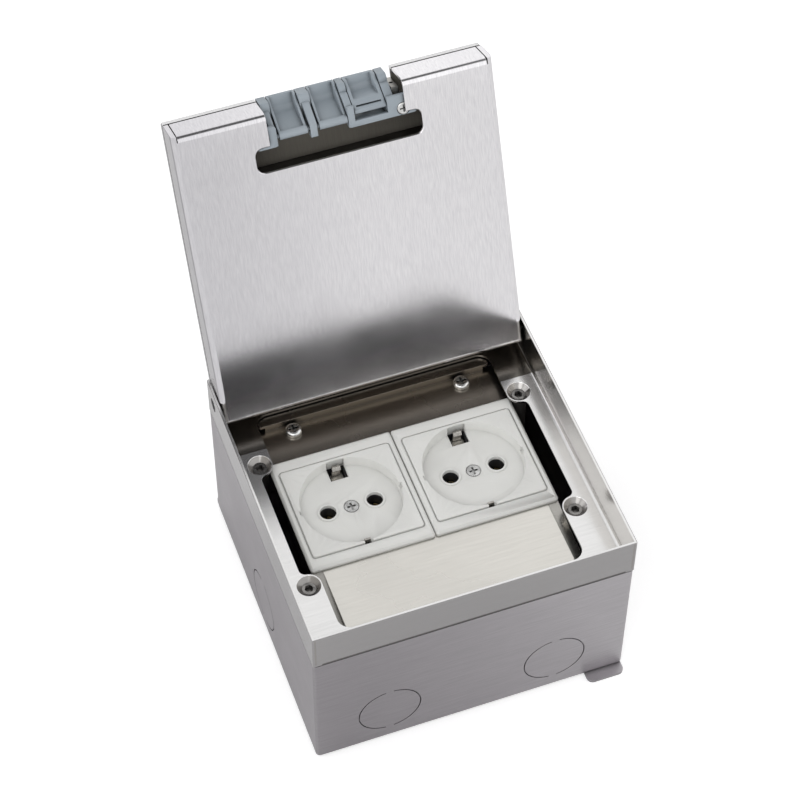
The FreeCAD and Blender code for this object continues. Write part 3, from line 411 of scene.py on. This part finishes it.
# Limits in mm that pick out those parts. The sheets' outer faces stand 63.5 from the
# middle, and the lid's 62.15. A limit just inside a face takes that face and little else.
# The band of painted reflection by the hinge has no limit sideways, so it also marks the
# frame's outer faces.
BOX_FACE = 63.3
FRAME_WALL = (62.0, 62.7)
FRAME_WALL_HEIGHT = (67.0, 83.4)
FRONT_WALL_END = 62.4
LEDGE_UNDERSIDE = 66.78
LEDGE_TOP = 67.4
OPENING_HALF = 60.0
HINGE_SIDE_START = 36.4
PLATE_HINGE_SIDE_START = 30.0
LID_FACE = 61.9
COVER_INNER_FACE = (("Z", None, 82.62), ("AX", None, 61.08), ("Y", -61.05, None))
# The part of the cover's inside towards the hinge, which gets more painted shade.
COVER_REAR_INNER_FACE = COVER_INNER_FACE + (("Y", -44.3, 60.0),)

FRAME_ZONES = (
    ((("AX", BOX_FACE, None),), SKIRT_PAINTED_SHADE),
    ((("AY", BOX_FACE, None), ("AX", None, BOX_FACE)), SKIRT_PAINTED_SHADE),
    ((("AX", *FRAME_WALL), ("Z", *FRAME_WALL_HEIGHT)), WALL_INSIDE_PAINTED_SHADE),
    ((("Y", -FRAME_WALL[1], -FRAME_WALL[0]), ("Z", *FRAME_WALL_HEIGHT),
      ("AX", None, FRONT_WALL_END)), FRONT_WALL_INSIDE_PAINTED_SHADE),
    ((("Z", None, LEDGE_UNDERSIDE), ("AX", None, OPENING_HALF)), SHEET_EDGE_PAINTED_SHADE),
    ((("Y", HINGE_SIDE_START, None), ("Z", LEDGE_UNDERSIDE, LEDGE_TOP)), HINGE_SIDE_PAINTED_REFLECTION),
)
CASING_ZONES = (
    ((("Y", None, -BOX_FACE),), CASING_FRONT_PAINTED_SHADE),
    ((("X", None, -BOX_FACE),), CASING_LEFT_PAINTED_SHADE),
)
LID_ZONES = (((("X", None, -LID_FACE),), LID_SIDE_PAINTED_SHADE),)
COVER_ZONES = (
    (COVER_INNER_FACE, COVER_INSIDE_PAINTED_SHADE),
    (COVER_REAR_INNER_FACE, COVER_INSIDE_REAR_PAINTED_SHADE),
) + LID_ZONES
PLATE_ZONES = (((("Y", PLATE_HINGE_SIDE_START, None),), PLATE_HINGE_SIDE_PAINTED_REFLECTION),)

# Stroke frequencies along X, Y and Z, per metre. The strokes run where they are fewest.
CASING_STROKES = (60.0, 60.0, 3400.0)
LEVEL_STROKES = (60.0, 1400.0, 1400.0)
LID_STROKES = (3000.0, 210.0, 210.0)
COVER_STROKES = (3400.0, 150.0, 150.0)

casing_steel = brushed_steel("casing_brushed_steel", (0.57, 0.55, 0.57),
                             (0.47, 0.455, 0.47), 0.32, CASING_STROKES, contrast=0.3,
                             edge=0.15 * MM, zones=CASING_ZONES, shade=CASING_SHADE,
                             shade_end=70.0)
frame_steel = brushed_steel("frame_satin_steel", (0.84, 0.835, 0.83), (0.79, 0.785, 0.78),
                            0.20, LEVEL_STROKES, contrast=0.15, relief=0.05,
                            edge=0.12 * MM, zones=FRAME_ZONES)
lid_steel = brushed_steel("lid_brushed_steel", (0.95, 0.935, 0.95), (0.80, 0.785, 0.81),
                          0.16, LID_STROKES, on_lid=True, contrast=0.25, relief=0.10,
                          zones=LID_ZONES, shade=LID_SHADE)
cover_steel = brushed_steel("cover_brushed_steel", (0.80, 0.795, 0.80),
                            (0.70, 0.695, 0.70), 0.22, COVER_STROKES, on_lid=True,
                            contrast=0.25, relief=0.10, zones=COVER_ZONES,
                            matte=COVER_INNER_FACE)
plate_steel = brushed_steel("plate_satin_steel", (0.76, 0.74, 0.695), (0.72, 0.70, 0.655),
                            0.26, LEVEL_STROKES, contrast=0.1, relief=0.04,
                            zones=PLATE_ZONES)
inner_steel = plain_metal("zinc_plated_steel", (0.50, 0.49, 0.46), (0.36, 0.35, 0.33), 0.35,
                          size=60.0)
# Painted shade: the stiffener inside the lid is given a near-black steel colour for the shade
# it lies in.
stiffener_painted_shade_steel = plain_metal("stiffener_steel_painted_shade", (0.085, 0.08, 0.07),
                              (0.055, 0.05, 0.045), 0.42, size=80.0)
# Painted shade: the frame's socket screws are a dark steel so that their hex sockets read
# dark.
socket_screw_painted_shade_steel = plain_metal("socket_screw_steel_painted_shade", (0.30, 0.29, 0.28),
                                 (0.20, 0.195, 0.19), 0.20)
screw_steel = plain_metal("polished_screw_steel", (0.80, 0.80, 0.79), (0.62, 0.62, 0.61), 0.16)
earth_steel = plain_metal("nickel_plated_strip", (0.60, 0.58, 0.54), (0.44, 0.42, 0.39), 0.24)
contact_brass = plain_metal("contact_brass", (0.72, 0.56, 0.28), (0.52, 0.39, 0.18), 0.28)
socket_plastic = moulded_plastic("socket_ivory_plastic", (0.775, 0.775, 0.75),
                                 (0.745, 0.745, 0.72), 0.30, 0.03, coat=0.15, crevice=0.2)
outlet_plastic = moulded_plastic("outlet_blue_grey_plastic", (0.315, 0.355, 0.39),
                                 (0.285, 0.325, 0.36), 0.42, 0.12, crevice=0.85)
insert_plastic = moulded_plastic("insert_black_plastic", (0.035, 0.035, 0.037),
                                 (0.022, 0.022, 0.024), 0.45, 0.15)
seal_rubber = moulded_plastic("seal_black_rubber", (0.030, 0.030, 0.032),
                              (0.018, 0.018, 0.020), 0.62, 0.3)

SLOT_MATERIALS = {
    "casing_steel": casing_steel, "frame_steel": frame_steel, "lid_steel": lid_steel,
    "plate_steel": plate_steel, "inner_steel": inner_steel, "screw_steel": screw_steel,
    "gasket_rubber": seal_rubber, "outlet_plastic": outlet_plastic,
    "socket_plastic": socket_plastic, "insert_plastic": insert_plastic,
    "contact_brass": contact_brass, "earth_steel": earth_steel,
}
NODE_SLOTS = {s["node"]: s["material_slot"] for s in frame["record"]["subparts"]}


def dress(obj, material):
    """Gives every material place of a piece the same material."""
    for place in obj.material_slots:
        place.material = material


for node, obj in frame["nodes"].items():
    dress(obj, SLOT_MATERIALS[NODE_SLOTS[node]])
dress(frame["nodes"]["lid_cover"], cover_steel)
dress(frame["nodes"]["lid_stiffener"], stiffener_painted_shade_steel)
dress(frame["nodes"]["frame_screws"], socket_screw_painted_shade_steel)


# ---- moulded pieces with rounded edges ---------------------------------------------------
MOULD_RADIUS = 0.22 * MM
MOULD_SEGMENTS = 3
ROUNDED_FROM = math.radians(28)      # a flatter edge keeps its form
SMOOTH_BELOW = math.radians(40)
FLAT_BELOW = math.radians(1.0)
JOIN_DISTANCE = 0.002 * MM
MOULDED_NODES = ("cable_flap_left", "cable_flap_right", "latch_slider", "outlet_carrier",
                 "socket_cover_left", "socket_cover_right")


def body_of_node(node):
    """The moving body that a node belongs to."""
    for body, nodes in frame["record"]["behaviour"]["bodies"].items():
        if node in nodes:
            return body


def rounded_piece(node):
    """The node's form with its moulded edges really rounded."""
    source = frame["nodes"][node]
    mesh = source.data.copy()
    form = bmesh.new()
    form.from_mesh(mesh)
    bmesh.ops.remove_doubles(form, verts=form.verts, dist=JOIN_DISTANCE)
    bmesh.ops.dissolve_limit(form, angle_limit=FLAT_BELOW, verts=form.verts,
                             edges=form.edges)
    form.to_mesh(mesh)
    form.free()
    piece = bpy.data.objects.new(node + "_moulded", mesh)
    bpy.context.scene.collection.objects.link(piece)
    piece.matrix_world = source.matrix_world
    bevel = piece.modifiers.new("edges", "BEVEL")
    bevel.width = MOULD_RADIUS
    bevel.segments = MOULD_SEGMENTS
    bevel.limit_method = "ANGLE"
    bevel.angle_limit = ROUNDED_FROM
    bevel.use_clamp_overlap = True
    bevel.harden_normals = True
    graph = bpy.context.evaluated_depsgraph_get()
    done = bpy.data.meshes.new_from_object(piece.evaluated_get(graph))
    piece.modifiers.clear()
    piece.data = done
    for face in done.polygons:
        face.use_smooth = True
    done.set_sharp_from_angle(angle=SMOOTH_BELOW)
    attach(piece, body_of_node(node))
    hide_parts(node)
    done.materials.clear()
    done.materials.append(SLOT_MATERIALS[NODE_SLOTS[node]])


for moulded in MOULDED_NODES:
    rounded_piece(moulded)


# ---- floor, world and lamps --------------------------------------------------------------
FRONT_WALL = 1.10
SIDE_WALL = 1.02
CEILING_START = 0.86
CEILING_END = 0.95
CEILING_LEVEL = 0.10
FLOOR_HALF = 6.0
FLOOR_GAP = 0.02 * MM
FLOOR_TONE = 0.80
FLOOR_LIFT = 0.42                    # the light that brings the seen floor up to white
LAMPS = {                            # place, aim, side in metres, watts
    "softbox_front": ((-0.7, -0.8, 1.3), (0, 0, 0.05), 0.9, 4.0),
    "softbox_left": ((-1.6, 0.1, 0.9), (0, 0, 0.08), 1.0, 2.0),
}


def make_floor():
    """A matt pale floor that keeps the shadow and reads white from the camera."""
    mesh = bpy.data.meshes.new("floor")
    low = cad_box[0][2] - FLOOR_GAP
    corners = [(x * FLOOR_HALF, y * FLOOR_HALF, low)
               for x, y in ((-1, -1), (1, -1), (1, 1), (-1, 1))]
    mesh.from_pydata(corners, [], [(0, 1, 2, 3)])
    floor = bpy.data.objects.new("floor", mesh)
    bpy.context.scene.collection.objects.link(floor)
    material = bpy.data.materials.new("floor_white")
    material.use_nodes = True
    tree = material.node_tree
    tree.nodes.clear()
    out = tree.nodes.new("ShaderNodeOutputMaterial")
    matte = tree.nodes.new("ShaderNodeBsdfDiffuse")
    matte.inputs["Color"].default_value = (FLOOR_TONE, FLOOR_TONE, FLOOR_TONE, 1)
    glow = tree.nodes.new("ShaderNodeEmission")
    glow.inputs["Color"].default_value = (1, 1, 1, 1)
    path = tree.nodes.new("ShaderNodeLightPath")
    seen = add(tree, "ShaderNodeMath", operation="MAXIMUM")
    tree.links.new(path.outputs["Is Camera Ray"], seen.inputs[0])
    tree.links.new(path.outputs["Is Transmission Ray"], seen.inputs[1])
    lift = add(tree, "ShaderNodeMath", operation="MULTIPLY")
    lift.inputs[1].default_value = FLOOR_LIFT
    tree.links.new(seen.outputs[0], lift.inputs[0])
    tree.links.new(lift.outputs[0], glow.inputs["Strength"])
    both = tree.nodes.new("ShaderNodeAddShader")
    tree.links.new(matte.outputs[0], both.inputs[0])
    tree.links.new(glow.outputs[0], both.inputs[1])
    tree.links.new(both.outputs[0], out.inputs["Surface"])
    mesh.materials.append(material)


def make_world():
    """Bright walls, brightest in front, under a dark ceiling."""
    world = bpy.data.worlds.new("studio")
    bpy.context.scene.world = world
    world.use_nodes = True
    tree = world.node_tree
    tree.nodes.clear()
    out = tree.nodes.new("ShaderNodeOutputWorld")
    soft = tree.nodes.new("ShaderNodeBackground")
    direction = add(tree, "ShaderNodeTexCoord").outputs["Generated"]
    split = add(tree, "ShaderNodeSeparateXYZ")
    tree.links.new(direction, split.inputs[0])
    wall = ramp(tree, split.outputs["Y"], -1.0, 0.3, FRONT_WALL, SIDE_WALL)
    ceiling = ramp(tree, split.outputs["Z"], CEILING_START, CEILING_END, 1.0, CEILING_LEVEL)
    tone = add(tree, "ShaderNodeMath", operation="MULTIPLY")
    tree.links.new(wall, tone.inputs[0])
    tree.links.new(ceiling, tone.inputs[1])
    soft.inputs["Color"].default_value = (1, 1, 1, 1)
    tree.links.new(tone.outputs[0], soft.inputs["Strength"])
    white = tree.nodes.new("ShaderNodeBackground")
    white.inputs["Color"].default_value = (1, 1, 1, 1)
    path = tree.nodes.new("ShaderNodeLightPath")
    mix = tree.nodes.new("ShaderNodeMixShader")
    tree.links.new(path.outputs["Is Camera Ray"], mix.inputs[0])
    tree.links.new(soft.outputs[0], mix.inputs[1])
    tree.links.new(white.outputs[0], mix.inputs[2])
    tree.links.new(mix.outputs[0], out.inputs["Surface"])


def softbox(name, place, aim, side, watts):
    """A square soft lamp that points at its aim."""
    data = bpy.data.lights.new(name, "AREA")
    data.shape = "RECTANGLE"
    data.size = side
    data.size_y = side
    data.energy = watts
    lamp = bpy.data.objects.new(name, data)
    lamp.location = place
    lamp.rotation_euler = (Vector(aim) - Vector(place)).to_track_quat("-Z", "Y").to_euler()
    bpy.context.scene.collection.objects.link(lamp)


make_floor()
make_world()
for lamp_name, values in LAMPS.items():
    softbox(lamp_name, *values)

bpy.context.scene.view_settings.view_transform = "Standard"
